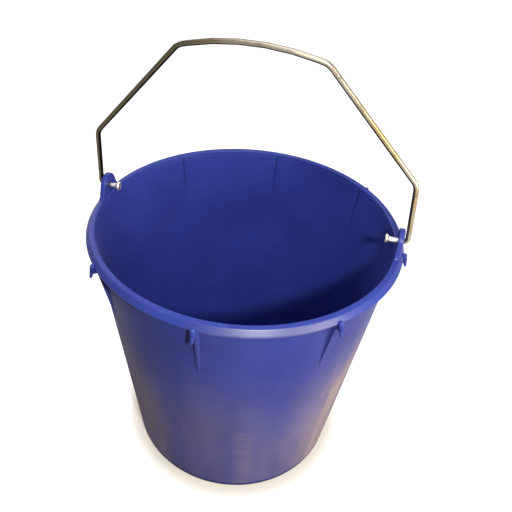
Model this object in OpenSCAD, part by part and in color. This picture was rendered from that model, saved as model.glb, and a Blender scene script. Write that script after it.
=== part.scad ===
// Builder's mortar bucket: a one-piece moulded tub with a flared rim, lugs and two ears,
// and a bail bent from one steel wire that turns in the ears.
// Millimetres, +Z up. The origin is the centre of the foot, on the ground.
// The ears stand on the X axis and -Y is the front.

/* [Tub] */
// Diameter over the lip of the rim
rim_d = 300; // [285:1:330]
// Height of the rim above the ground
tub_h = 270; // [230:1:320]
// Outer diameter of the wall, carried down to the ground
base_d = 220; // [190:1:240]
// Thickness of the wall, measured level
wall_t = 2.4; // [2:0.1:3.2]
// Thickness of the floor
floor_t = 3; // [2:0.5:6]
// Inside radius where the wall meets the floor
floor_fillet = 9; // [4:0.5:16]
// Outside radius at the lower edge of the wall
base_round = 3.5; // [2:0.5:6]

/* [Foot ring] */
// Height of the foot ring, the room under the floor
foot_h = 3; // [1.5:0.5:8]
// Width of the foot ring
foot_w = 4; // [2:0.5:10]
// How far the foot ring stands back from the rounded edge
foot_step = 1; // [0.5:0.5:6]

/* [Rim] */
// Thickness of the rim
rim_t = 2.6; // [2:0.1:3]
// Height of the lip from its lower edge to the top of the rim
lip_h = 6.6; // [5:0.2:10]
// How far the lip flares out beyond the flat top of the rim
lip_flare = 2.9; // [1.5:0.1:5]
// Width of the flat top, from the mouth to the crease
rim_top_w = 5.7; // [5:0.1:8]

/* [Lugs] */
// Number of lugs around the rim, counted from one ear
lug_count = 8; // [4:1:12]
// Length of a lug's rib, from the top of the rim down the wall
rib_len = 70; // [30:1:100]
// Thickness of a rib
rib_t = 2.4; // [1.6:0.1:4]
// Diameter of a peg at its head
peg_d = 4.8; // [4:0.1:6]
// Diameter of a peg at its tip
peg_tip_d = 2.6; // [1.6:0.1:3.6]
// How far a peg's head stands out beyond the lip
peg_out = 3.2; // [2.4:0.1:4]
// Depth of a peg's head below the top of the rim
peg_top = 2.7; // [2:0.1:2.8]
// Depth of a peg's tip below the top of the rim
peg_drop = 16.8; // [15:0.2:17]
// Outward lean of a peg, from its head down to its tip
peg_lean = 13; // [12:1:14]

/* [Ears] */
// Height of the pivot above the rim
pivot_h = 9.5; // [8:0.5:16]
// Radius of an ear's round head about the pivot
ear_r = 12; // [10.5:0.5:13]
// Width of an ear where it stands on the rim
ear_base_w = 33; // [31:1:44]
// Thickness of an ear
ear_t = 4.8; // [3:0.1:5]
// Radius of the fillet between an ear's flank and the rim
ear_fillet = 5; // [2:0.5:8]

/* [Bail] */
// Diameter of the wire
wire_d = 5; // [4:0.1:6]
// Clearance around the wire in the hole of an ear, on the radius
pin_clearance = 0.1; // [0.05:0.05:0.5]
// Gap between an ear and the leg beside it
leg_gap = 0.35; // [0.3:0.05:2]
// Length of wire that stands inside each ear, with its head
pin_in = 11.2; // [9:0.1:16]
// Width of the bail at its lower bends, between centrelines
shoulder_w = 291; // [275:1:294]
// Height of the lower bends above the pivot
shoulder_h = 62; // [50:1:90]
// Width of the grip at the upper bends
grip_w = 122; // [90:1:150]
// Height of the upper bends above the pivot
grip_h = 158; // [140:1:190]
// Rise of the arched grip in its middle
grip_rise = 8; // [5:0.5:14]
// Radius of the bends in the wire, on its centreline
bend_r = 15; // [8:1:20]
// Radius of the bend from a leg into its pin
pin_bend_r = 5; // [4:0.5:6]
// Diameter of the upset head on each end of the wire
head_d = 9; // [7.5:0.1:10]
// Thickness of the upset head
head_t = 2.4; // [1.4:0.1:2.4]
// Length of the cone between a head and the plain wire
neck_len = 3; // [1:0.1:4]

/* [Pose] */
// Lean of the bail towards the front
bail_lean = 6; // [-80:1:80]

/* [Hidden] */
$fn = 96;
plastic_blue = "#2f43a3";
zinc_grey = "#b9b19c";
// Overlap that carries a cut past a face
cut = 1;
// Largest step between the points of an arc, in degrees
arc_step = 9;

// Tub: the wall is one cone outside and one inside, with the same draft
lip_r = rim_d / 2;
mouth_r = lip_r - lip_flare - rim_top_w;
wall_top_r = mouth_r + wall_t;
draft = atan((wall_top_r - base_d / 2) / tub_h);
floor_z = foot_h + floor_t;
base_edge = edge_centre(base_d / 2, foot_h, base_round);
floor_edge = edge_centre(base_d / 2 - wall_t, floor_z, floor_fillet);
foot_r = base_edge[0] - foot_step;

// Rim: centreline of the bent section, from the mouth over the crease to the lip
rim_z = tub_h - rim_t / 2;
rim_in = [wall_r(rim_z) - wall_t + rim_t / 2 / cos(draft), rim_z];
rim_crease = [mouth_r + rim_top_w - rim_t / 2, rim_z];
rim_out = [lip_r - rim_t / 2, tub_h - lip_h + rim_t / 2];
lip_slope = atan2(rim_crease[1] - rim_out[1], rim_out[0] - rim_crease[0]);
lip_nook = rim_crease - rim_t / 2 * [tan(lip_slope / 2), 1];

// Lugs: each peg hangs on the lip with its tip turned out, and a web joins it to the rib
peg_r = lip_r + peg_out - peg_d / 2;
peg_top_z = tub_h - peg_top - peg_d / 2;
peg_tip_z = tub_h - peg_drop + peg_tip_d / 2;
peg_tip_r = peg_r + (peg_top_z - peg_tip_z) * tan(peg_lean);
peg_len = (peg_top_z - peg_tip_z) / cos(peg_lean);
peg_taper = asin((peg_d - peg_tip_d) / 2 / peg_len);
web_z = peg_tip_z + peg_tip_d;
web_r = lip_r - rim_t;

// Ears: the flanks are tangents from the round head to the ends of the base, and fillets end them
pivot_z = tub_h + pivot_h;
ear_in = mouth_r + rim_t / 8;
ear_out = ear_in + ear_t;
flank = acos(ear_r / norm([ear_base_w / 2, pivot_h])) - atan(2 * pivot_h / ear_base_w);
ear_sink = rim_t / 2;
ear_foot_z = -pivot_h - ear_sink * 2 / 3 + ear_fillet;
ear_foot = [(ear_r + ear_fillet - ear_foot_z * sin(flank)) / cos(flank), ear_foot_z];
hole_r = wire_d / 2 + pin_clearance;
lead_in = ear_t / 4;

// Bail: corners of the wire's centreline in its own plane, from one end to the other.
// The legs lean in towards the grip and clear the round heads of the ears.
leg_clear = ear_out + leg_gap + wire_d / 2;
leg_x = (leg_clear - ear_r * shoulder_w / 2 / shoulder_h) / (1 - ear_r / shoulder_h);
pin_end = ear_in - pin_in;
pin_start = pin_end + head_t / 2;
half_bail = [[pin_start, 0], [leg_x, 0], [shoulder_w / 2, shoulder_h], [grip_w / 2, grip_h]];
grip_apex = [0, grip_h + 2 * grip_rise];
bail_path = concat(
    half_bail,
    [grip_apex],
    [for (i = [len(half_bail) - 1:-1:0]) [-half_bail[i][0], half_bail[i][1]]]
);
// The grip's arc fills the span between the upper bends, but for a short straight at each end
grip_straight = 4;
grip_side = norm(grip_apex - half_bail[3]);
grip_bend = grip_side - bend_r * tan(turn_at(bail_path, 3) / 2) - grip_straight;
grip_r = grip_bend / tan(turn_at(bail_path, 4) / 2);
half_radii = [0, pin_bend_r, bend_r, bend_r];
bail_radii = concat(half_radii, [grip_r], [for (i = [3:-1:0]) half_radii[i]]);
// A ball a hair larger than the wire closes the small gap between a straight and a bend
joint_gap = 0.05;
joint_swell = 0.02;

// Outer radius of the wall at a height
function wall_r(z) = base_d / 2 + (wall_top_r - base_d / 2) * z / tub_h;

// Centre of a round between a level face and a wall with the draft, given by its radius on the ground
function edge_centre(ground_r, z, r) = [ground_r + (z + r) * tan(draft) - r / cos(draft), z + r];

// Points on an arc from one angle to another
function arc(centre, r, a0, a1) =
    let (n = ceil(abs(a1 - a0) / arc_step))
    [for (i = [0:n]) let (a = a0 + (a1 - a0) * i / n) centre + r * [cos(a), sin(a)]];

// Direction of the stretch of a path that starts at point i, in degrees
function heading(path, i) = atan2(path[i + 1][1] - path[i][1], path[i + 1][0] - path[i][0]);

// Left turn of a path at point i, none at its ends
function turn_at(path, i) =
    i == 0 || i == len(path) - 1 ? 0 : (heading(path, i) - heading(path, i - 1) + 360) % 360;

// Length of straight that a bend takes up on each side of its corner
function setback(path, radii, i) = radii[i] * tan(turn_at(path, i) / 2);

// Wall, floor, foot ring and rim in one turned section
module tub() {
    foot_in = foot_r - foot_w;
    rotate_extrude($fn = 180) polygon(concat(
        [[0, foot_h], [foot_in, foot_h], [foot_in, 0], [foot_r, 0], [foot_r, foot_h]],
        arc(base_edge, base_round, -90, -draft),
        [[wall_r(tub_h - rim_t), tub_h - rim_t], lip_nook],
        arc(rim_out, rim_t / 2, -90 - lip_slope, 90 - lip_slope),
        arc(rim_crease, rim_t / 2, 90 - lip_slope, 90),
        arc(rim_in, rim_t / 2, 90, 180 - draft),
        arc(floor_edge, floor_fillet, -draft, -90),
        [[0, floor_z]]
    ));
}

// Rib under the rim, with a web through the lip to a tapered peg that hangs on its outside
module lug() {
    rib_z = tub_h - rib_len;
    rotate([90, 0, 0]) linear_extrude(rib_t, center = true) polygon([
        [wall_r(rib_z) - wall_t / 2, rib_z],
        [wall_r(rib_z), rib_z],
        [web_r, web_z],
        [peg_tip_r, web_z],
        [peg_r, peg_top_z],
        rim_crease,
        [wall_r(rim_z) - wall_t / 2, rim_z]
    ]);
    translate([peg_tip_r, 0, peg_tip_z]) rotate([0, -peg_lean, 0]) rotate_extrude() polygon(concat(
        arc([0, 0], peg_tip_d / 2, -90, -peg_taper),
        arc([0, peg_len], peg_d / 2, -peg_taper, 90)
    ));
}

// Child and its mirror image on the other side of the YZ plane
module both_sides() {
    children();
    mirror([1, 0, 0]) children();
}

// Ear without its hole: a plate with a round head that stands on the rim and follows its curve
module ear_blank() {
    low = -pivot_h - ear_sink;
    intersection() {
        translate([0, 0, pivot_z]) rotate_extrude($fn = 180)
            translate([ear_in, low - cut]) square([ear_t, ear_r - low + 2 * cut]);
        translate([ear_in - ear_t, 0, pivot_z]) rotate([90, 0, 90]) linear_extrude(2 * ear_t + cut)
            polygon(concat(
                [[ear_foot[0], low]],
                arc(ear_foot, ear_fillet, 270, 180 + flank),
                arc([0, 0], ear_r, flank, 180 - flank),
                arc([-ear_foot[0], ear_foot[1]], ear_fillet, -flank, -90),
                [[-ear_foot[0], low]]
            ));
    }
}

// Hole for the wire through one ear, with a lead-in on both faces
module ear_hole() {
    mouth = hole_r + lead_in + cut;
    translate([ear_in, 0, pivot_z]) rotate([0, 90, 0]) rotate_extrude() polygon([
        [0, -cut],
        [mouth, -cut],
        [hole_r, lead_in],
        [hole_r, ear_t - lead_in],
        [mouth, ear_t + cut],
        [0, ear_t + cut]
    ]);
}

// The whole moulding
module bucket() {
    color(plastic_blue) difference() {
        union() {
            tub();
            for (i = [0:lug_count - 1]) rotate(i * 360 / lug_count) lug();
            both_sides() ear_blank();
        }
        both_sides() ear_hole();
    }
}

// Round wire along a path of left turns in the XZ plane: straights, and a bend at each corner
module bent_wire(path, radii, d) {
    for (i = [0:len(path) - 2]) {
        along = [cos(heading(path, i)), sin(heading(path, i))];
        start = path[i] + setback(path, radii, i) * along;
        end = path[i + 1] - setback(path, radii, i + 1) * along;
        translate([start[0], 0, start[1]]) rotate([0, 90 - heading(path, i), 0])
            translate([0, 0, joint_gap]) cylinder(d = d, h = norm(end - start) - 2 * joint_gap);
        if (i > 0) translate([start[0], 0, start[1]]) sphere(d = d + joint_swell);
        if (i < len(path) - 2) translate([end[0], 0, end[1]]) sphere(d = d + joint_swell);
    }
    for (i = [1:len(path) - 2]) {
        arrive = heading(path, i - 1);
        start = path[i] - setback(path, radii, i) * [cos(arrive), sin(arrive)];
        centre = start + radii[i] * [-sin(arrive), cos(arrive)];
        translate([centre[0], 0, centre[1]]) rotate([90, 0, 0]) rotate(arrive - 90)
            rotate_extrude(angle = turn_at(path, i)) translate([radii[i], 0]) circle(d = d);
    }
}

// Upset head on the end of the wire at +X: a disc with a round edge and a cone behind it
module wire_head() {
    disc_r = (head_d - head_t) / 2;
    neck_r = (wire_d + joint_swell) / 2;
    neck_end = head_t + neck_len;
    translate([pin_end, 0, 0]) rotate([0, 90, 0]) rotate_extrude() polygon(concat(
        [[0, 0]],
        arc([disc_r, head_t / 2], head_t / 2, -90, 90),
        [[neck_r, neck_end], [0, neck_end]]
    ));
}

// The bail, turned about the pivot to its lean
module bail() {
    color(zinc_grey) translate([0, 0, pivot_z]) rotate([bail_lean, 0, 0]) {
        bent_wire(bail_path, bail_radii, wire_d);
        both_sides() wire_head();
    }
}

bucket();
bail();
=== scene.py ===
import math

import bmesh
import bpy
from mathutils import Matrix, Vector


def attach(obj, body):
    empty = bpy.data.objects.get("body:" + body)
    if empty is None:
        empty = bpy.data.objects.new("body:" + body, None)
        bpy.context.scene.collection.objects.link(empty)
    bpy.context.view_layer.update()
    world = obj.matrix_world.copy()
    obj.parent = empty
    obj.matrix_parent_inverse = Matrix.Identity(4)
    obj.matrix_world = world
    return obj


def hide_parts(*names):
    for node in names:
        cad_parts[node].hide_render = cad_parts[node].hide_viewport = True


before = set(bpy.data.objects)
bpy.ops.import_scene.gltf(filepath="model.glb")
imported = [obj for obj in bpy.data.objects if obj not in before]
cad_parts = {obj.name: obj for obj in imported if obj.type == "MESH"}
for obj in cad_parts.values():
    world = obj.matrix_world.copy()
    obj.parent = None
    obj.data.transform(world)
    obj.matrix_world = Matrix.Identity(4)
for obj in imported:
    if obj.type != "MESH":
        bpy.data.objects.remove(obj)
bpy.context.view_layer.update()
mm = 0.001  # pieces are drawn in millimetres and stored in metres
print("frame loaded:", ", ".join(sorted(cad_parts)))


# shared mesh helpers

leastTurn = 0.01   # radians; a corner that turns less is left as it is
sameAngle = 1e-4   # radians; angles that differ by less are one


def arcPoints(centre, radius, startDeg, endDeg, steps):
    angles = [math.radians(startDeg + (endDeg - startDeg) * i / steps) for i in range(steps + 1)]
    return [(centre[0] + radius * math.cos(a), centre[1] + radius * math.sin(a)) for a in angles]


def evenAngles(count):
    return [2 * math.pi * i / count for i in range(count)]


def roundedLine(corners, longest, arcStep=12.0):
    # corners are (x, y, radius); each is rounded, and long straights are cut into short ones
    rough = [Vector(corners[0][:2])]
    for before, corner, after in zip(corners, corners[1:], corners[2:]):
        here, radius = Vector(corner[:2]), corner[2]
        arrive = (here - Vector(before[:2])).normalized()
        leave = (Vector(after[:2]) - here).normalized()
        turn = arrive.angle(leave)
        if radius == 0 or turn < leastTurn:
            rough.append(here)
            continue
        left = 1 if arrive.x * leave.y - arrive.y * leave.x > 0 else -1
        start = here - arrive * radius * math.tan(turn / 2)
        centre = start + Vector((-arrive.y, arrive.x)) * radius * left
        first = math.degrees(math.atan2(start.y - centre.y, start.x - centre.x))
        turnDeg = math.degrees(turn)
        steps = max(2, math.ceil(turnDeg / arcStep))
        arc = arcPoints(centre, radius, first, first + left * turnDeg, steps)
        rough += [Vector(p) for p in arc]
    rough.append(Vector(corners[-1][:2]))
    line = [rough[0]]
    for p, q in zip(rough, rough[1:]):
        pieces = max(1, math.ceil((q - p).length / longest))
        line += [p.lerp(q, i / pieces) for i in range(1, pieces + 1)]
    return line


def newObject(name, points, faces, body, node, slot):
    mesh = bpy.data.meshes.new(name)
    mesh.from_pydata([Vector(p) * mm for p in points], [], faces)
    mesh.validate()
    bm = bmesh.new()
    bm.from_mesh(mesh)
    bmesh.ops.recalc_face_normals(bm, faces=bm.faces)
    bm.to_mesh(mesh)
    bm.free()
    mesh.shade_smooth()
    piece = bpy.data.objects.new(name, mesh)
    bpy.context.scene.collection.objects.link(piece)
    # keeps the flats flat beside small rounds
    weighted = piece.modifiers.new("flatFaces", "WEIGHTED_NORMAL")
    weighted.keep_sharp = True
    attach(piece, body)
    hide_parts(node)
    return piece


def gridFaces(rows, columns, offset=0, closeRows=False):
    # quads between neighbouring rows; each row is a closed ring of columns
    last = rows if closeRows else rows - 1
    return [
        (offset + i * columns + j,
         offset + i * columns + (j + 1) % columns,
         offset + (i + 1) % rows * columns + (j + 1) % columns,
         offset + (i + 1) % rows * columns + j)
        for i in range(last) for j in range(columns)
    ]


def endFaces(count, columns):
    # the flat ends of a tube that is made of rings
    return [tuple(range(columns)), tuple(range(count - columns, count))]


def turned(profile, angles, shift=None):
    # a closed turned solid; the profile starts and ends on the axis
    points = [(0, 0, profile[0][1])]
    for r, z in profile[1:-1]:
        for a in angles:
            moved = r + (shift(r, z, a) if shift else 0)
            points.append((moved * math.cos(a), moved * math.sin(a), z))
    points.append((0, 0, profile[-1][1]))
    count, rows = len(angles), len(profile) - 2
    faces = gridFaces(rows, count, 1)
    faces += [(0, 1 + (j + 1) % count, 1 + j) for j in range(count)]
    top = 1 + (rows - 1) * count
    faces += [(len(points) - 1, top + j, top + (j + 1) % count) for j in range(count)]
    return points, faces


def joined(parts):
    points, faces = [], []
    for more, moreFaces in parts:
        faces += [tuple(i + len(points) for i in f) for f in moreFaces]
        points += more
    return points, faces


# tub: wall, floor, foot ring and rim, turned from one section

tub = {
    "rimRadius": 150.0, "height": 270.0, "baseRadius": 110.0,
    "wall": 2.4, "floor": 3.0, "floorFillet": 9.0, "baseRound": 3.5,
    "footHeight": 3.0, "footWidth": 4.0, "footStep": 1.0, "footRound": 0.5, "footFillet": 0.6,
    "rimThick": 2.6, "lipHeight": 6.6, "lipFlare": 2.9, "rimTop": 5.7,
    "lipRound": 0.99,  # of half the rim's thickness, so the two rounds at its end don't meet
    "underRimFillet": 1.6, "nookFillet": 0.7,
    # faint line that the mould's split leaves on the wall, and its section: height, share
    "splitLine": 87.0, "splitRaise": 0.12,
    "splitSection": ((-1.2, 0), (-0.5, 0.8), (0, 1), (0.5, 0.8), (1.2, 0)),
    # shallow marks inside, behind the ribs; none shows below the ears
    "sinkDepth": 0.5, "sinkWidth": 1.6, "sinkEnd": 208.0, "sinkFade": 45.0,
    "sinkTop": 268.5, "sinkTopFade": 6.0, "sinkLeastSine": 0.3,
    "lugs": 8, "segments": 288, "lugSteps": (-0.9, -0.6, -0.3, 0.3, 0.6, 0.9),
    "longest": 6.0,
}

mouthRadius = tub["rimRadius"] - tub["lipFlare"] - tub["rimTop"]
draft = (mouthRadius + tub["wall"] - tub["baseRadius"]) / tub["height"]
halfRim = tub["rimThick"] / 2
rimZ = tub["height"] - halfRim
crease = Vector((mouthRadius + tub["rimTop"] - halfRim, rimZ))
lipEnd = Vector((tub["rimRadius"] - halfRim, tub["height"] - tub["lipHeight"] + halfRim))
lipWay = (lipEnd - crease).normalized()
lipSide = Vector((-lipWay.y, lipWay.x))  # out of the lip's outer face
lipTilt = math.acos(lipWay.x)


def wallRadius(z):
    return tub["baseRadius"] + draft * z


def lugOffset(a):
    # the angle from the nearest lug
    step = 2 * math.pi / tub["lugs"]
    return (a + step / 2) % step - step / 2


def tubSection():
    footTop, baseRound = tub["footHeight"], tub["baseRound"]
    footOut = wallRadius(footTop + baseRound) - baseRound * math.hypot(1, draft) - tub["footStep"]
    footIn = footOut - tub["footWidth"]
    floorZ = footTop + tub["floor"]
    under = tub["height"] - tub["rimThick"]
    bend = halfRim * math.tan(lipTilt / 2)
    lipRound = halfRim * tub["lipRound"]
    inner = lipEnd + (lipWay - lipSide) * halfRim
    outer = lipEnd + (lipWay + lipSide) * halfRim
    split = [(tub["splitLine"] + dz, share) for dz, share in tub["splitSection"]]
    corners = [
        (0, footTop, 0),
        (footIn, footTop, tub["footFillet"]),
        (footIn, 0, tub["footRound"]),
        (footOut, 0, tub["footRound"]),
        (footOut, footTop, tub["footFillet"]),
        (wallRadius(footTop), footTop, baseRound),
        *[(wallRadius(z) + share * tub["splitRaise"], z, 0) for z, share in split],
        (wallRadius(under), under, tub["underRimFillet"]),
        (crease.x - bend, under, tub["nookFillet"]),
        (inner.x, inner.y, lipRound),
        (outer.x, outer.y, lipRound),
        (crease.x + bend, tub["height"], halfRim),
        (mouthRadius, tub["height"], halfRim),
        (wallRadius(floorZ) - tub["wall"], floorZ, tub["floorFillet"]),
        (0, floorZ, 0),
    ]
    return roundedLine(corners, tub["longest"])


def sinkShift(r, z, a):
    inside = r < wallRadius(z) - tub["wall"] / 2
    if not inside or z < tub["sinkEnd"] or abs(math.sin(a)) < tub["sinkLeastSine"]:
        return 0
    fade = min(1, (z - tub["sinkEnd"]) / tub["sinkFade"])
    fade *= min(1, max(0, (tub["sinkTop"] - z) / tub["sinkTopFade"]))
    return tub["sinkDepth"] * fade * math.exp(-(lugOffset(a) * r / tub["sinkWidth"]) ** 2)


def tubAngles():
    # even steps, and closer ones at the lugs
    angles = set()
    for a in evenAngles(tub["segments"]):
        angles.add(round(a, 6))
        if abs(lugOffset(a)) < sameAngle:
            angles |= {round(a + math.radians(d), 6) for d in tub["lugSteps"]}
    return sorted(angles)


tubMesh = turned(tubSection(), tubAngles(), sinkShift)
tubPiece = newObject("bucketTub", *tubMesh, "bucket", "bucket", "moulding")
print("tub:", len(tubPiece.data.polygons), "faces")


# lugs: a rib that fades into the wall, a web through the lip and a hanging peg

lug = {
    "ribLength": 70.0, "ribHalf": 1.2, "cove": 1.2, "edge": 0.55, "ribRows": 34,
    "ribStart": 0.4, "thinEnd": 0.35,  # the rib starts just above its end, and thinner
    "roundShare": 0.45,                # of the rib's reach, the most that a cove or edge takes
    "foot": ((0.5, -0.8), (0, -0.02)),  # the cove's foot goes on into the wall
    "webRoot": 1.5, "webTop": 1.0, "bevel": 0.5,
    "pegOut": 3.2, "pegTop": 4.8, "pegTip": 2.6, "pegHead": 2.7, "pegDrop": 16.8,
    "pegLean": 13.0, "pegSides": 28,
}
pegX = tub["rimRadius"] + lug["pegOut"] - lug["pegTop"] / 2
pegZ = tub["height"] - lug["pegHead"] - lug["pegTop"] / 2  # middle of the peg's round head
tipZ = tub["height"] - lug["pegDrop"] + lug["pegTip"] / 2
tipX = pegX + (pegZ - tipZ) * math.tan(math.radians(lug["pegLean"]))
webX, webZ = tub["rimRadius"] - tub["rimThick"], tipZ + lug["pegTip"]
ribEnd = tub["height"] - lug["ribLength"]


def ribReach(z):
    # how far the rib stands off the wall at a height
    if z <= webZ:
        full = webX - wallRadius(webZ)
        return full * max(0, z - ribEnd) / (webZ - ribEnd)
    lipX = crease.x + (rimZ - z) * lipWay.x / -lipWay.y
    return min(webX, lipX) - wallRadius(z)


def ribSection(reach):
    # half of the rib's level section: a cove from the wall, the side, and the rounded edge
    most = reach * lug["roundShare"]
    cove, edge = min(lug["cove"], most), min(lug["edge"], most)
    half = lug["ribHalf"] * min(1, lug["thinEnd"] + reach / 2)
    foot = [(half + cove + t, d) for t, d in lug["foot"]]
    curve = arcPoints((half + cove, cove), cove, 260, 180, steps=6)
    crown = arcPoints((half - edge, reach - edge), edge, 0, 90, steps=4)
    return foot + curve + crown


def ribMesh():
    bottom, rows = ribEnd + lug["ribStart"], lug["ribRows"]
    heights = [bottom + (rimZ - bottom) * i / rows for i in range(rows + 1)]
    points = []
    for z in heights:
        right = ribSection(ribReach(z))
        for t, d in right + [(-t, d) for t, d in reversed(right)]:
            a, r = t / wallRadius(z), wallRadius(z) + d
            points.append((r * math.cos(a), r * math.sin(a), z))
    size = len(points) // len(heights)
    return points, gridFaces(len(heights), size) + endFaces(len(points), size)


def webMesh():
    bm = bmesh.new()
    root = webX - lug["webRoot"]
    outline = [(root, webZ), (tipX, webZ), (pegX, pegZ), (crease.x + lug["webTop"], rimZ),
               (root, lipEnd.y)]
    near = [bm.verts.new((x, -lug["ribHalf"], z)) for x, z in outline]
    far = [bm.verts.new((x, lug["ribHalf"], z)) for x, z in outline]
    bm.faces.new(near)
    bm.faces.new(far[::-1])
    for i in range(len(outline)):
        k = (i + 1) % len(outline)
        bm.faces.new((near[k], near[i], far[i], far[k]))
    bmesh.ops.bevel(bm, geom=bm.edges[:], offset=lug["bevel"], segments=3, profile=0.5,
                    affect="EDGES")
    bm.verts.index_update()
    mesh = [tuple(v.co) for v in bm.verts], [tuple(v.index for v in f.verts) for f in bm.faces]
    bm.free()
    return mesh


def pegMesh():
    length = math.hypot(tipX - pegX, pegZ - tipZ)
    tip, top = lug["pegTip"] / 2, lug["pegTop"] / 2
    taper = math.degrees(math.asin((top - tip) / length))
    side = arcPoints((0, 0), tip, -90, -taper, steps=8)
    side += arcPoints((0, length), top, -taper, 90, steps=10)
    points, faces = turned(side, evenAngles(lug["pegSides"]))
    lean = Matrix.Rotation(-math.radians(lug["pegLean"]), 3, "Y")
    return [tuple(Vector((tipX, 0, tipZ)) + lean @ Vector(p)) for p in points], faces


lugPoints, lugFaces = joined([ribMesh(), webMesh(), pegMesh()])
allLugs = []
for angle in evenAngles(tub["lugs"]):
    spin = Matrix.Rotation(angle, 3, "Z")
    allLugs.append(([tuple(spin @ Vector(p)) for p in lugPoints], lugFaces))
lugPiece = newObject("rimLugs", *joined(allLugs), "bucket", "bucket", "moulding")
print("lugs:", tub["lugs"], "with", len(lugPiece.data.polygons), "faces")


# ears: plates with a round head and a hole for the wire, standing on the rim

ear = {
    "pivotRise": 9.5, "headRadius": 12.0, "baseWidth": 33.0, "thick": 4.8, "setBack": 0.325,
    "edge": 1.0, "footFillet": 5.0, "holeRadius": 2.6, "leadIn": 1.2,
    "sink": 1.3, "filletSink": 2 / 3,  # depth in the rim, and the fillet's share of it
    "bottomSteps": 24, "faceSteps": 6, "roundSteps": 5,
}
pivotZ = tub["height"] + ear["pivotRise"]
earInside = mouthRadius + ear["setBack"]


def earOutline():
    # seen along the pivot: round head, straight flanks, and a fillet down into the rim
    rise, head, fillet = ear["pivotRise"], ear["headRadius"], ear["footFillet"]
    half, steps = ear["baseWidth"] / 2, ear["bottomSteps"]
    flank = math.acos(head / math.hypot(half, rise)) - math.atan2(rise, half)
    footZ = fillet - rise - ear["sink"] * ear["filletSink"]
    footY = (head + fillet - footZ * math.sin(flank)) / math.cos(flank)
    flankDeg = math.degrees(flank)
    right = arcPoints((footY, footZ), fillet, 270, 180 + flankDeg, steps=12)
    crown = arcPoints((0, 0), head, flankDeg, 180 - flankDeg, steps=44)
    bottom = [(footY * (-1 + 2 * i / steps), -rise - ear["sink"]) for i in range(steps + 1)]
    return right + crown + [(-y, z) for y, z in reversed(right)] + bottom


def earMesh(side):
    # a ring of sections round the hole, bent to the curve of the rim
    outline = [Vector(p) for p in earOutline()]
    count, across = len(outline), ear["faceSteps"]
    hole, lead, edge, thick = ear["holeRadius"], ear["leadIn"], ear["edge"], ear["thick"]
    quarter = [math.pi / 2 * k / ear["roundSteps"] for k in range(ear["roundSteps"] + 1)]
    rows = []
    for i, here in enumerate(outline):
        along = (outline[(i + 1) % count] - outline[i - 1]).normalized()
        out = Vector((along.y, -along.x))
        ray = here.normalized()
        mouth, rim = ray * (hole + lead), here - out * edge
        section = [(ray * (hole + lead - lead * math.sin(a)), lead * (1 - math.cos(a)))
                   for a in reversed(quarter)]
        section += [(mouth.lerp(rim, k / across), 0) for k in range(1, across)]
        section += [(rim + out * edge * math.sin(a), edge * (1 - math.cos(a))) for a in quarter]
        rows.append(section + [(p, thick - s) for p, s in reversed(section)])
    points = [(side * math.sqrt((earInside + s) ** 2 - p.x ** 2), p.x, pivotZ + p.y)
              for row in rows for p, s in row]
    return points, gridFaces(count, len(rows[0]), closeRows=True)


earMeshes = joined([earMesh(1), earMesh(-1)])
earPiece = newObject("bailEars", *earMeshes, "bucket", "bucket", "moulding")
print("ears:", len(earPiece.data.polygons), "faces")


# bail: one bent wire with an upset head on each end

bail = {
    "wire": 5.0, "legGap": 0.35, "pinInside": 11.2,
    "shoulderWidth": 291.0, "shoulderHeight": 62.0,
    "gripWidth": 122.0, "gripHeight": 158.0, "gripRise": 8.0, "gripStraight": 4.0,
    "bend": 15.0, "pinBend": 5.0, "lean": 6.0,
    "headWidth": 9.0, "headThick": 2.4, "neck": 3.0, "neckCurve": 1.4,
    # how far the wire strays from a true line, by hand: two waves that start above the pivot
    "handBent": 0.35, "bentFrom": 25.0, "bentFade": 40.0,
    "firstWave": 37.0, "secondWave": 91.0, "secondPhase": 1.0,
    "sides": 24, "headRings": 12, "neckRings": 8, "neckGap": 0.5,
    "longest": 3.0, "arcStep": 6.0,
}


def bailLine():
    # the wire's centreline in its own plane: across, and height above the pivot
    clear = earInside + ear["thick"] + bail["legGap"] + bail["wire"] / 2
    k = ear["headRadius"] / bail["shoulderHeight"]  # the leg clears the top of the ear's head
    legX = (clear - k * bail["shoulderWidth"] / 2) / (1 - k)
    endX = earInside - bail["pinInside"]
    grip = Vector((bail["gripWidth"] / 2, bail["gripHeight"]))
    shoulder = Vector((bail["shoulderWidth"] / 2, bail["shoulderHeight"]))
    apex = Vector((0, bail["gripHeight"] + 2 * bail["gripRise"]))
    upperTurn = (grip - shoulder).angle(apex - grip)
    gripTurn = (apex - grip).angle(Vector((-grip.x, grip.y)) - apex)
    gripBend = (apex - grip).length - bail["bend"] * math.tan(upperTurn / 2) - bail["gripStraight"]
    half = [
        (endX, 0, 0), (legX, 0, bail["pinBend"]),
        (*shoulder, bail["bend"]), (*grip, bail["bend"]),
    ]
    middle = (*apex, gripBend / math.tan(gripTurn / 2))
    corners = half + [middle] + [(-x, h, r) for x, h, r in reversed(half)]
    return roundedLine(corners, bail["longest"], bail["arcStep"]), endX


def headRadiusAt(s):
    # the wire's radius at a distance from its end: flat face, round edge, neck, plain wire
    half, thick = bail["headThick"] / 2, bail["headThick"]
    flat, plain = bail["headWidth"] / 2 - half, bail["wire"] / 2
    if s <= thick:
        return flat + math.sqrt(max(0, half ** 2 - (s - half) ** 2))
    return plain + (flat - plain) * max(0, 1 - (s - thick) / bail["neck"]) ** bail["neckCurve"]


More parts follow.
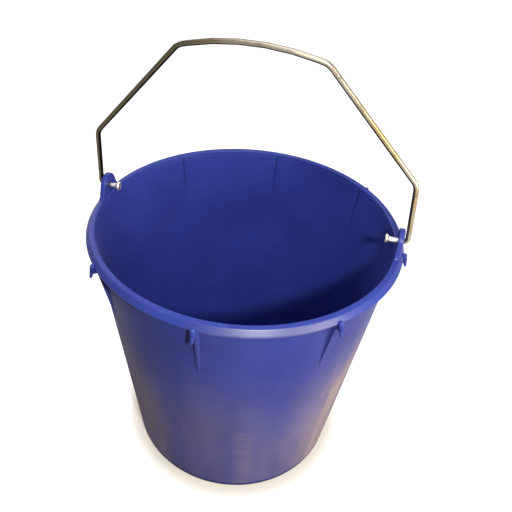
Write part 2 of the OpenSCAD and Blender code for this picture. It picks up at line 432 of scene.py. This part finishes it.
def bailPath():
    # the centreline with close steps for the head and its neck at both ends
    line, endX = bailLine()
    thick, neck = bail["headThick"], bail["neck"]
    rings, neckRings = bail["headRings"], bail["neckRings"]
    steps = [thick * (1 - math.cos(math.pi * k / rings)) / 2 for k in range(rings + 1)]
    steps += [thick + neck * k / neckRings for k in range(1, neckRings + 1)]
    fine = [Vector((endX + s, 0)) for s in steps]
    plainFrom = endX + thick + neck + bail["neckGap"]
    body = [p for p in line if not (p.y == 0 and abs(p.x) < plainFrom)]
    return fine + body + [Vector((-p.x, p.y)) for p in reversed(fine)]


def bailMesh():
    path = bailPath()
    lengths = [0]
    for p, q in zip(path, path[1:]):
        lengths.append(lengths[-1] + (q - p).length)
    lean = math.radians(bail["lean"])
    across = Vector((1, 0, 0))
    up = Vector((0, -math.sin(lean), math.cos(lean)))
    off = Vector((0, math.cos(lean), math.sin(lean)))
    pivot = Vector((0, 0, pivotZ))
    points, rings, sides = [], len(path), bail["sides"]
    for i, (p, s) in enumerate(zip(path, lengths)):
        way = (path[min(i + 1, rings - 1)] - path[max(i - 1, 0)]).normalized()
        side = Vector((way.y, -way.x))
        free = min(1, max(0, (p.y - bail["bentFrom"]) / bail["bentFade"]))
        stray = bail["handBent"] * free * math.sin(s / bail["firstWave"])
        stray *= math.sin(s / bail["secondWave"] + bail["secondPhase"])
        radius = headRadiusAt(min(s, lengths[-1] - s))
        for a in evenAngles(sides):
            flat = p + side * radius * math.cos(a)
            points.append(tuple(pivot + across * flat.x + up * flat.y
                                + off * (radius * math.sin(a) + stray)))
    return points, gridFaces(rings, sides) + endFaces(len(points), sides), lengths


bailPoints, bailFaces, bailLengths = bailMesh()
bailPiece = newObject("bailWire", bailPoints, bailFaces, "bail", "bail", "wire")
# distance along the wire, for its drawn streaks
bailRun = bailPiece.data.attributes.new("wireRun", "FLOAT", "POINT")
bailRun.data.foreach_set("value", [s * mm for s in bailLengths for _ in range(bail["sides"])])
print("bail:", len(bailPiece.data.polygons), "faces,", round(bailLengths[-1]), "mm of wire")


# helpers for the finishes; a ramp is (from, to) or (from, to, low value, high value), and a
# noise is (scale, detail, roughness, stretch)

noiseMiddle = 0.5


def newMaterial(name):
    material = bpy.data.materials.new(name)
    material.use_nodes = True
    tree = material.node_tree
    tree.nodes.clear()
    return material, tree


def addNode(tree, kind, settings=None, **inputs):
    # inputs are named with _ for a space, or n and their place in the list
    node = tree.nodes.new("ShaderNode" + kind)
    for key, value in (settings or {}).items():
        setattr(node, key, value)
    for key, value in inputs.items():
        counted = key[0] == "n" and key[1:].isdigit()
        socket = node.inputs[int(key[1:]) if counted else key.replace("_", " ")]
        if isinstance(value, bpy.types.NodeSocket):
            tree.links.new(value, socket)
        else:
            socket.default_value = value
    return node


def maths(tree, operation, *values):
    inputs = {f"n{i}": v for i, v in enumerate(values)}
    return addNode(tree, "Math", {"operation": operation}, **inputs).outputs[0]


def times(tree, product, *factors):
    for factor in factors:
        product = maths(tree, "MULTIPLY", product, factor)
    return product


def ramp(tree, value, low, high, toLow=0.0, toHigh=1.0):
    return addNode(tree, "MapRange", {"interpolation_type": "SMOOTHSTEP"}, Value=value,
                   From_Min=low, From_Max=high, To_Min=toLow, To_Max=toHigh).outputs[0]


def mixed(tree, share, first, second):
    return addNode(tree, "Mix", {"data_type": "RGBA"}, n0=share, n6=first, n7=second).outputs[2]


def layered(tree, colour, layers):
    for share, over in layers:
        colour = mixed(tree, share, colour, over)
    return colour


def grain(tree, place, scale, detail=3.0, rough=0.5, stretch=None):
    if stretch:
        multiply = {"operation": "MULTIPLY"}
        place = addNode(tree, "VectorMath", multiply, n0=place, n1=stretch).outputs[0]
    return addNode(tree, "TexNoise", Vector=place, Scale=scale, Detail=detail,
                   Roughness=rough).outputs[0]


# blue plastic, with dust, scratches, and painted sheen and shade on it; heights and radii are in
# metres, angles from +X

plastic = {
    "blue": (0.026, 0.042, 0.25, 1), "deepBlue": (0.022, 0.034, 0.21, 1),
    # a dark blue used for painted shade
    "scuff": (0.10, 0.13, 0.42, 1), "shadeBlue": (0.010, 0.017, 0.11, 1),
    "clouds": (14, 4), "cloudy": (0.35, 0.7), "wallSide": (-0.0004, 0.0004),
    # moulding ripples run level round the wall, and a fine peel covers everything
    "ripples": (60, 2, 0.5, (0.25, 0.25, 2.2)), "rippleDepth": 0.0008,
    "peel": (900, 2), "peelDepth": 0.00003, "bump": 0.5,
    "roughness": (0.3, 0.75, 0.32, 0.42), "dustRough": 0.6, "ior": 1.45, "specular": 0.009,
    # hands and tools have polished the rim and the ears
    "polished": (0.2630, 0.2645), "rimGloss": 0.24, "coatRough": 0.38, "coatIor": 1.7,
    "sheen": 0.02, "sheenRough": 0.4, "sheenTint": (1.0, 0.82, 0.66, 1),
    # painted shade along the wall's lowest edge, outside
    "footShade": (0.0105, 0.0075, 0.0, 0.85),
}


def tubPlace(tree):
    # where a point is on the bucket; outside is 1 on the wall's outer face and 0 inside
    place = addNode(tree, "TexCoord").outputs["Object"]
    x, y, z = addNode(tree, "SeparateXYZ", Vector=place).outputs
    radius = maths(tree, "SQRT", maths(tree, "ADD", times(tree, x, x), times(tree, y, y)))
    midWall = maths(tree, "MULTIPLY_ADD", z, draft, (tub["baseRadius"] - tub["wall"] / 2) * mm)
    outside = ramp(tree, maths(tree, "SUBTRACT", radius, midWall), *plastic["wallSide"])
    way = maths(tree, "ARCTAN2", y, x)
    return {"all": place, "y": y, "z": z, "radius": radius, "way": way, "outside": outside}


def angleFrom(tree, at, degrees):
    return maths(tree, "ABSOLUTE", maths(tree, "SUBTRACT", at["way"], math.radians(degrees)))


dustAndSheen = {
    "colour": (0.45, 0.36, 0.33, 1), "plain": 0.09, "patchy": 0.12, "run": 0.05, "sides": 0.30,
    "streaks": (26, 4, 0.55, (1, 1, 0.12)), "patches": (0.3, 0.75),
    "wander": (17, 5, 0.6, (1, 1, 0.5)), "wanderRound": 0.5, "wanderUp": 0.10,
    # painted sheen on the two sides, none at the front
    "frontAt": -75.0, "sideFrom": (0.35, 0.95), "sideTo": (1.60, 1.05), "sidePatchy": (0.7, 0.65),
    "lowSideSheen": (0.245, 0.13), "thickens": (0.225, 0.07, 0.16, 1.0),
    "offFoot": (0.005, 0.012), "offRim": (0.262, 0.257),
    # the streak is a painted reflection: a pale upright band near the front
    "streakAt": -71.0, "streakWide": (0.10, 0.02), "streakDown": (0.215, 0.15),
    "streakBroken": (0.36, 0.64, 0.35, 1.25),
}


def dustAndSheenFilm(tree, at, ripples):
    # dust that thickens towards the foot, in upright streaks, with painted sheen on the two sides
    # and a painted reflection streak near the front; outside only
    z = at["z"]
    patchy = ramp(tree, grain(tree, at["all"], *dustAndSheen["streaks"]), *dustAndSheen["patches"])
    wander = maths(tree, "SUBTRACT", grain(tree, at["all"], *dustAndSheen["wander"]), noiseMiddle)
    # sides: painted sheen, growing away from the front
    offFront = angleFrom(tree, at, dustAndSheen["frontAt"])
    edge = maths(tree, "MULTIPLY_ADD", wander, dustAndSheen["wanderRound"], offFront)
    sides = times(tree, ramp(tree, edge, *dustAndSheen["sideFrom"]), ramp(tree, edge, *dustAndSheen["sideTo"]),
                  maths(tree, "MULTIPLY_ADD", patchy, *dustAndSheen["sidePatchy"]))
    height = maths(tree, "MULTIPLY_ADD", wander, dustAndSheen["wanderUp"], z)
    lowSideSheen = times(tree, sides, ramp(tree, height, *dustAndSheen["lowSideSheen"]))
    low = maths(tree, "MAXIMUM", lowSideSheen, ramp(tree, z, *dustAndSheen["thickens"]))
    low = times(tree, low, ramp(tree, z, *dustAndSheen["offFoot"]), ramp(tree, z, *dustAndSheen["offRim"]))
    # run: the painted reflection streak, broken by the ripples
    run = times(tree, ramp(tree, angleFrom(tree, at, dustAndSheen["streakAt"]), *dustAndSheen["streakWide"]),
                ramp(tree, z, *dustAndSheen["streakDown"]), ramp(tree, ripples, *dustAndSheen["streakBroken"]))
    amount = dustAndSheen["plain"]
    for layer, share in ((run, dustAndSheen["run"]), (patchy, dustAndSheen["patchy"]), (sides, dustAndSheen["sides"])):
        amount = maths(tree, "MULTIPLY_ADD", layer, share, amount)
    return times(tree, low, at["outside"], amount)


# the lip face at the front: painted shade under the highlight, and more gloss
lipHighlight = {
    "at": -68.0, "reach": (0.62, 0.12), "face": (0.1460, 0.1470), "offPegs": (0.1506, 0.1501),
    "height": (0.2610, 0.2630), "darker": 0.7,
}


def lipHighlightFace(tree, at):
    # the lip's outer face at the front: painted darker under the lamp's highlight, and glossier
    # there
    face = times(tree, ramp(tree, at["radius"], *lipHighlight["face"]),
                 ramp(tree, at["radius"], *lipHighlight["offPegs"]),
                 ramp(tree, at["z"], *lipHighlight["height"]))
    return times(tree, face, ramp(tree, angleFrom(tree, at, lipHighlight["at"]), *lipHighlight["reach"]))


sinkShade = {
    "wide": (0.0021, 0.0006), "offEars": (0.02, 0.05), "fades": (tub["sinkEnd"] * mm, 0.245),
    "offRim": (0.2675, 0.2645), "share": 0.55,
}


def shadeInMarks(tree, at):
    # painted shade in the sink marks inside, one behind each rib
    turnedBy = maths(tree, "PINGPONG", at["way"], math.pi / tub["lugs"])
    return times(tree, ramp(tree, times(tree, turnedBy, at["radius"]), *sinkShade["wide"]),
                 ramp(tree, maths(tree, "ABSOLUTE", at["y"]), *sinkShade["offEars"]),
                 maths(tree, "SUBTRACT", 1.0, at["outside"]),
                 ramp(tree, at["z"], *sinkShade["fades"]),
                 ramp(tree, at["z"], *sinkShade["offRim"]), sinkShade["share"])


scratch = {
    "lines": (130, 6, 0.65, (1, 1, 9)), "deep": (0.60, 0.72), "lip": (0.258, 0.264),
    "foot": (0.016, 0.004), "worn": (0.35, 0.08),
}


def scratches(tree, at):
    # fine ones, most of them on the lip and the lower edge
    foot = times(tree, ramp(tree, at["z"], *scratch["foot"]), at["outside"])
    worn = maths(tree, "MAXIMUM", ramp(tree, at["z"], *scratch["lip"]), foot)
    lines = grain(tree, at["all"], *scratch["lines"])
    return times(tree, ramp(tree, lines, *scratch["deep"]),
                 maths(tree, "MULTIPLY_ADD", worn, *scratch["worn"]))


def bluePlastic():
    material, tree = newMaterial("bluePlastic")
    at = tubPlace(tree)
    clouds = grain(tree, at["all"], *plastic["clouds"])
    ripples = grain(tree, at["all"], *plastic["ripples"])
    film = dustAndSheenFilm(tree, at, ripples)
    highlightFace = lipHighlightFace(tree, at)
    colour = layered(tree, plastic["blue"], [
        (ramp(tree, clouds, *plastic["cloudy"]), plastic["deepBlue"]),
        # dust, with painted sheen on the sides and a painted reflection streak
        (film, dustAndSheen["colour"]),
        # painted shade along the foot
        (times(tree, ramp(tree, at["z"], *plastic["footShade"]), at["outside"]), plastic["shadeBlue"]),
        # painted shade under the lip's highlight
        (times(tree, highlightFace, lipHighlight["darker"]), plastic["shadeBlue"]),
        # painted shade in the sink marks
        (shadeInMarks(tree, at), plastic["shadeBlue"]),
        (scratches(tree, at), plastic["scuff"]),
    ])
    roughness = maths(tree, "MULTIPLY_ADD", film, plastic["dustRough"],
                      ramp(tree, clouds, *plastic["roughness"]))
    peel = times(tree, grain(tree, at["all"], *plastic["peel"]), plastic["peelDepth"])
    height = maths(tree, "MULTIPLY_ADD", ripples, plastic["rippleDepth"], peel)
    bump = addNode(tree, "Bump", Height=height, Strength=plastic["bump"], Distance=1.0)
    polished = times(tree, ramp(tree, at["z"], *plastic["polished"]), plastic["rimGloss"])
    shader = addNode(
        tree, "BsdfPrincipled", Base_Color=colour, Roughness=roughness, Normal=bump.outputs[0],
        IOR=plastic["ior"], Specular_IOR_Level=plastic["specular"],
        Coat_Weight=maths(tree, "MAXIMUM", polished, highlightFace),
        Coat_Roughness=plastic["coatRough"], Coat_IOR=plastic["coatIor"],
        Sheen_Weight=plastic["sheen"], Sheen_Roughness=plastic["sheenRough"],
        Sheen_Tint=plastic["sheenTint"])
    addNode(tree, "OutputMaterial", Surface=shader.outputs[0])
    return material


# zinc-plated wire

zinc = {
    "pale": (0.36, 0.32, 0.25, 1), "straw": (0.34, 0.225, 0.09, 1),
    "tarnishAndShade": (0.06, 0.052, 0.032, 1), "rubbed": (0.80, 0.75, 0.64, 1),
    "tint": (22, 4), "tinted": (0.35, 0.68),
    "spots": (160, 5, 0.6), "spotted": (0.55, 0.75, 0.0, 0.6),
    # painted shade: the wire darker towards one side
    "shadeWobble": (9, 3), "shadeWander": 0.16, "sideShade": (0.14, 0.01, 0.0, 0.93),  # most at one side
    "pins": (0.017, 0.013), "pinRough": 0.12,    # bare metal at both ends, which turn in the ears
    "lines": (420, 3), "linesAlong": 6.0, "bump": 0.12, "bumpDepth": 0.0004,
    "roughness": (0.3, 0.7, 0.21, 0.39),
}


def zincWire():
    material, tree = newMaterial("zincWire")
    place = addNode(tree, "TexCoord").outputs["Object"]
    run = addNode(tree, "Attribute", {"attribute_name": "wireRun"}).outputs["Fac"]
    across = addNode(tree, "SeparateXYZ", Vector=place).outputs[0]
    shadeWobble = grain(tree, place, *zinc["shadeWobble"])
    shadeAcross = maths(tree, "MULTIPLY_ADD", shadeWobble, zinc["shadeWander"], across)
    rest = maths(tree, "SUBTRACT", bailLengths[-1] * mm, run)
    pins = ramp(tree, maths(tree, "MINIMUM", run, rest), *zinc["pins"])
    colour = layered(tree, zinc["pale"], [
        (ramp(tree, grain(tree, place, *zinc["tint"]), *zinc["tinted"]), zinc["straw"]),
        (ramp(tree, grain(tree, place, *zinc["spots"]), *zinc["spotted"]), zinc["tarnishAndShade"]),
        # painted shade on one side of the wire
        (ramp(tree, shadeAcross, *zinc["sideShade"]), zinc["tarnishAndShade"]),
        (pins, zinc["rubbed"]),
    ])
    # drawing marks
    along = addNode(tree, "CombineXYZ", X=times(tree, run, zinc["linesAlong"])).outputs[0]
    drawn = addNode(tree, "VectorMath", {"operation": "ADD"}, n0=place, n1=along).outputs[0]
    lines = grain(tree, drawn, *zinc["lines"])
    roughness = maths(tree, "MULTIPLY_ADD", pins, zinc["pinRough"],
                      ramp(tree, lines, *zinc["roughness"]))
    bump = addNode(tree, "Bump", Height=lines, Strength=zinc["bump"], Distance=zinc["bumpDepth"])
    shader = addNode(tree, "BsdfPrincipled", Base_Color=colour, Metallic=1.0, Roughness=roughness,
                     Normal=bump.outputs[0])
    addNode(tree, "OutputMaterial", Surface=shader.outputs[0])
    return material


moulding = bluePlastic()
for piece in (tubPiece, lugPiece, earPiece):
    piece.data.materials.append(moulding)
bailPiece.data.materials.append(zincWire())
print("finishes: moulded plastic and zinc wire")


# stage: pale floor, lamps and the photograph's camera

stage = {
    "floorSize": 6.0, "ring": (0.110, 0.138),
    "bounce": (0.34, 0.29, 0.23, 1),    # what the floor throws back at the object
    # what is seen of it: a painted contact shadow beside the foot, white further off, and how much
    # it takes of the lamps
    "shadowGlow": (0.42, 0.37, 0.29, 1), "farGlow": (1, 1, 1, 1), "lit": (0.40, 0.40, 0.40, 1),
    "white": (1, 1, 1, 1), "worldLight": 0.07, "aim": (0, 0, 0.2),
}
lamps = {
    "key": {"way": (-65, 39.3), "far": 0.8, "size": 0.05, "power": 6.0, "colour": (1, 0.98, 0.92)},
    "fill": {"way": (-60, 82), "far": 1.3, "size": 1.2, "power": 10.5, "colour": (0.85, 0.9, 1)},
    "side": {"way": (-20, 9), "far": 1.5, "size": 0.8, "power": 22.0, "colour": (1, 0.88, 0.68)},
    "back": {"way": (140, 30), "far": 1.8, "size": 0.8, "power": 12.0, "colour": (1, 0.97, 0.95)},
}
shot = {
    "place": (0.1032189, -0.4462123, 0.5823529),
    "right": (0.95796851, 0.28419285, 0.03912485),
    "up": (-0.1893381, 0.52389734, 0.83047135),
    "lens": 40.529, "sensor": 36.0, "clip": (0.01, 50),
    "shift": (0.05302, -0.08401),   # the photograph is a crop, off the lens's axis
}


def seenRay(tree):
    path = addNode(tree, "LightPath").outputs
    bent = maths(tree, "MAXIMUM", path["Is Glossy Ray"], path["Is Transmission Ray"])
    return maths(tree, "MAXIMUM", path["Is Camera Ray"], bent)


def addObject(name, data):
    holder = bpy.data.objects.new(name, data)
    bpy.context.scene.collection.objects.link(holder)
    return holder


def addFloor():
    half = stage["floorSize"] / 2
    corners = [(-half, -half, 0), (half, -half, 0), (half, half, 0), (-half, half, 0)]
    mesh = bpy.data.meshes.new("floor")
    mesh.from_pydata(corners, [], [(0, 1, 2, 3)])
    floor = addObject("floor", mesh)
    material, tree = newMaterial("paleFloor")
    place = addNode(tree, "TexCoord").outputs["Object"]
    away = addNode(tree, "VectorMath", {"operation": "LENGTH"}, n0=place).outputs["Value"]
    # darker glow beside the foot: a painted contact shadow
    white = mixed(tree, ramp(tree, away, *stage["ring"]), stage["shadowGlow"], stage["farGlow"])
    glow = addNode(tree, "Emission", Color=white, Strength=1.0)
    lit = addNode(tree, "BsdfDiffuse", Color=stage["lit"])
    seen = addNode(tree, "AddShader", n0=glow.outputs[0], n1=lit.outputs[0])
    bounce = addNode(tree, "BsdfDiffuse", Color=stage["bounce"])
    both = addNode(tree, "MixShader", n0=seenRay(tree), n1=bounce.outputs[0], n2=seen.outputs[0])
    addNode(tree, "OutputMaterial", Surface=both.outputs[0])
    mesh.materials.append(material)


def addWorld():
    world = bpy.data.worlds.new("studio")
    bpy.context.scene.world = world
    world.use_nodes = True
    tree = world.node_tree
    tree.nodes.clear()
    strength = maths(tree, "MAXIMUM", seenRay(tree), stage["worldLight"])
    sky = addNode(tree, "Background", Color=stage["white"], Strength=strength)
    addNode(tree, "OutputWorld", Surface=sky.outputs[0])


def addLamp(name, lamp):
    data = bpy.data.lights.new(name + "Lamp", "AREA")
    data.shape, data.size = "DISK", lamp["size"]
    data.energy, data.color = lamp["power"], lamp["colour"]
    holder = addObject(name + "Lamp", data)
    az, el = (math.radians(v) for v in lamp["way"])
    toward = Vector((math.cos(az) * math.cos(el), math.sin(az) * math.cos(el), math.sin(el)))
    holder.location = Vector(stage["aim"]) + toward * lamp["far"]
    holder.rotation_euler = toward.to_track_quat("Z", "Y").to_euler()


def addCamera():
    data = bpy.data.cameras.new("photoCamera")
    data.lens, data.sensor_width = shot["lens"], shot["sensor"]
    data.shift_x, data.shift_y = shot["shift"]
    data.clip_start, data.clip_end = shot["clip"]
    camera = addObject("photoCamera", data)
    right, up = Vector(shot["right"]), Vector(shot["up"])
    turn = Matrix((right, up, right.cross(up))).transposed().to_4x4()
    camera.matrix_world = Matrix.Translation(shot["place"]) @ turn
    bpy.context.scene.camera = camera


addFloor()
addWorld()
for name, lamp in lamps.items():
    addLamp(name, lamp)
addCamera()
bpy.context.scene.view_settings.view_transform = "Standard"
print("stage: floor, lamps and camera")
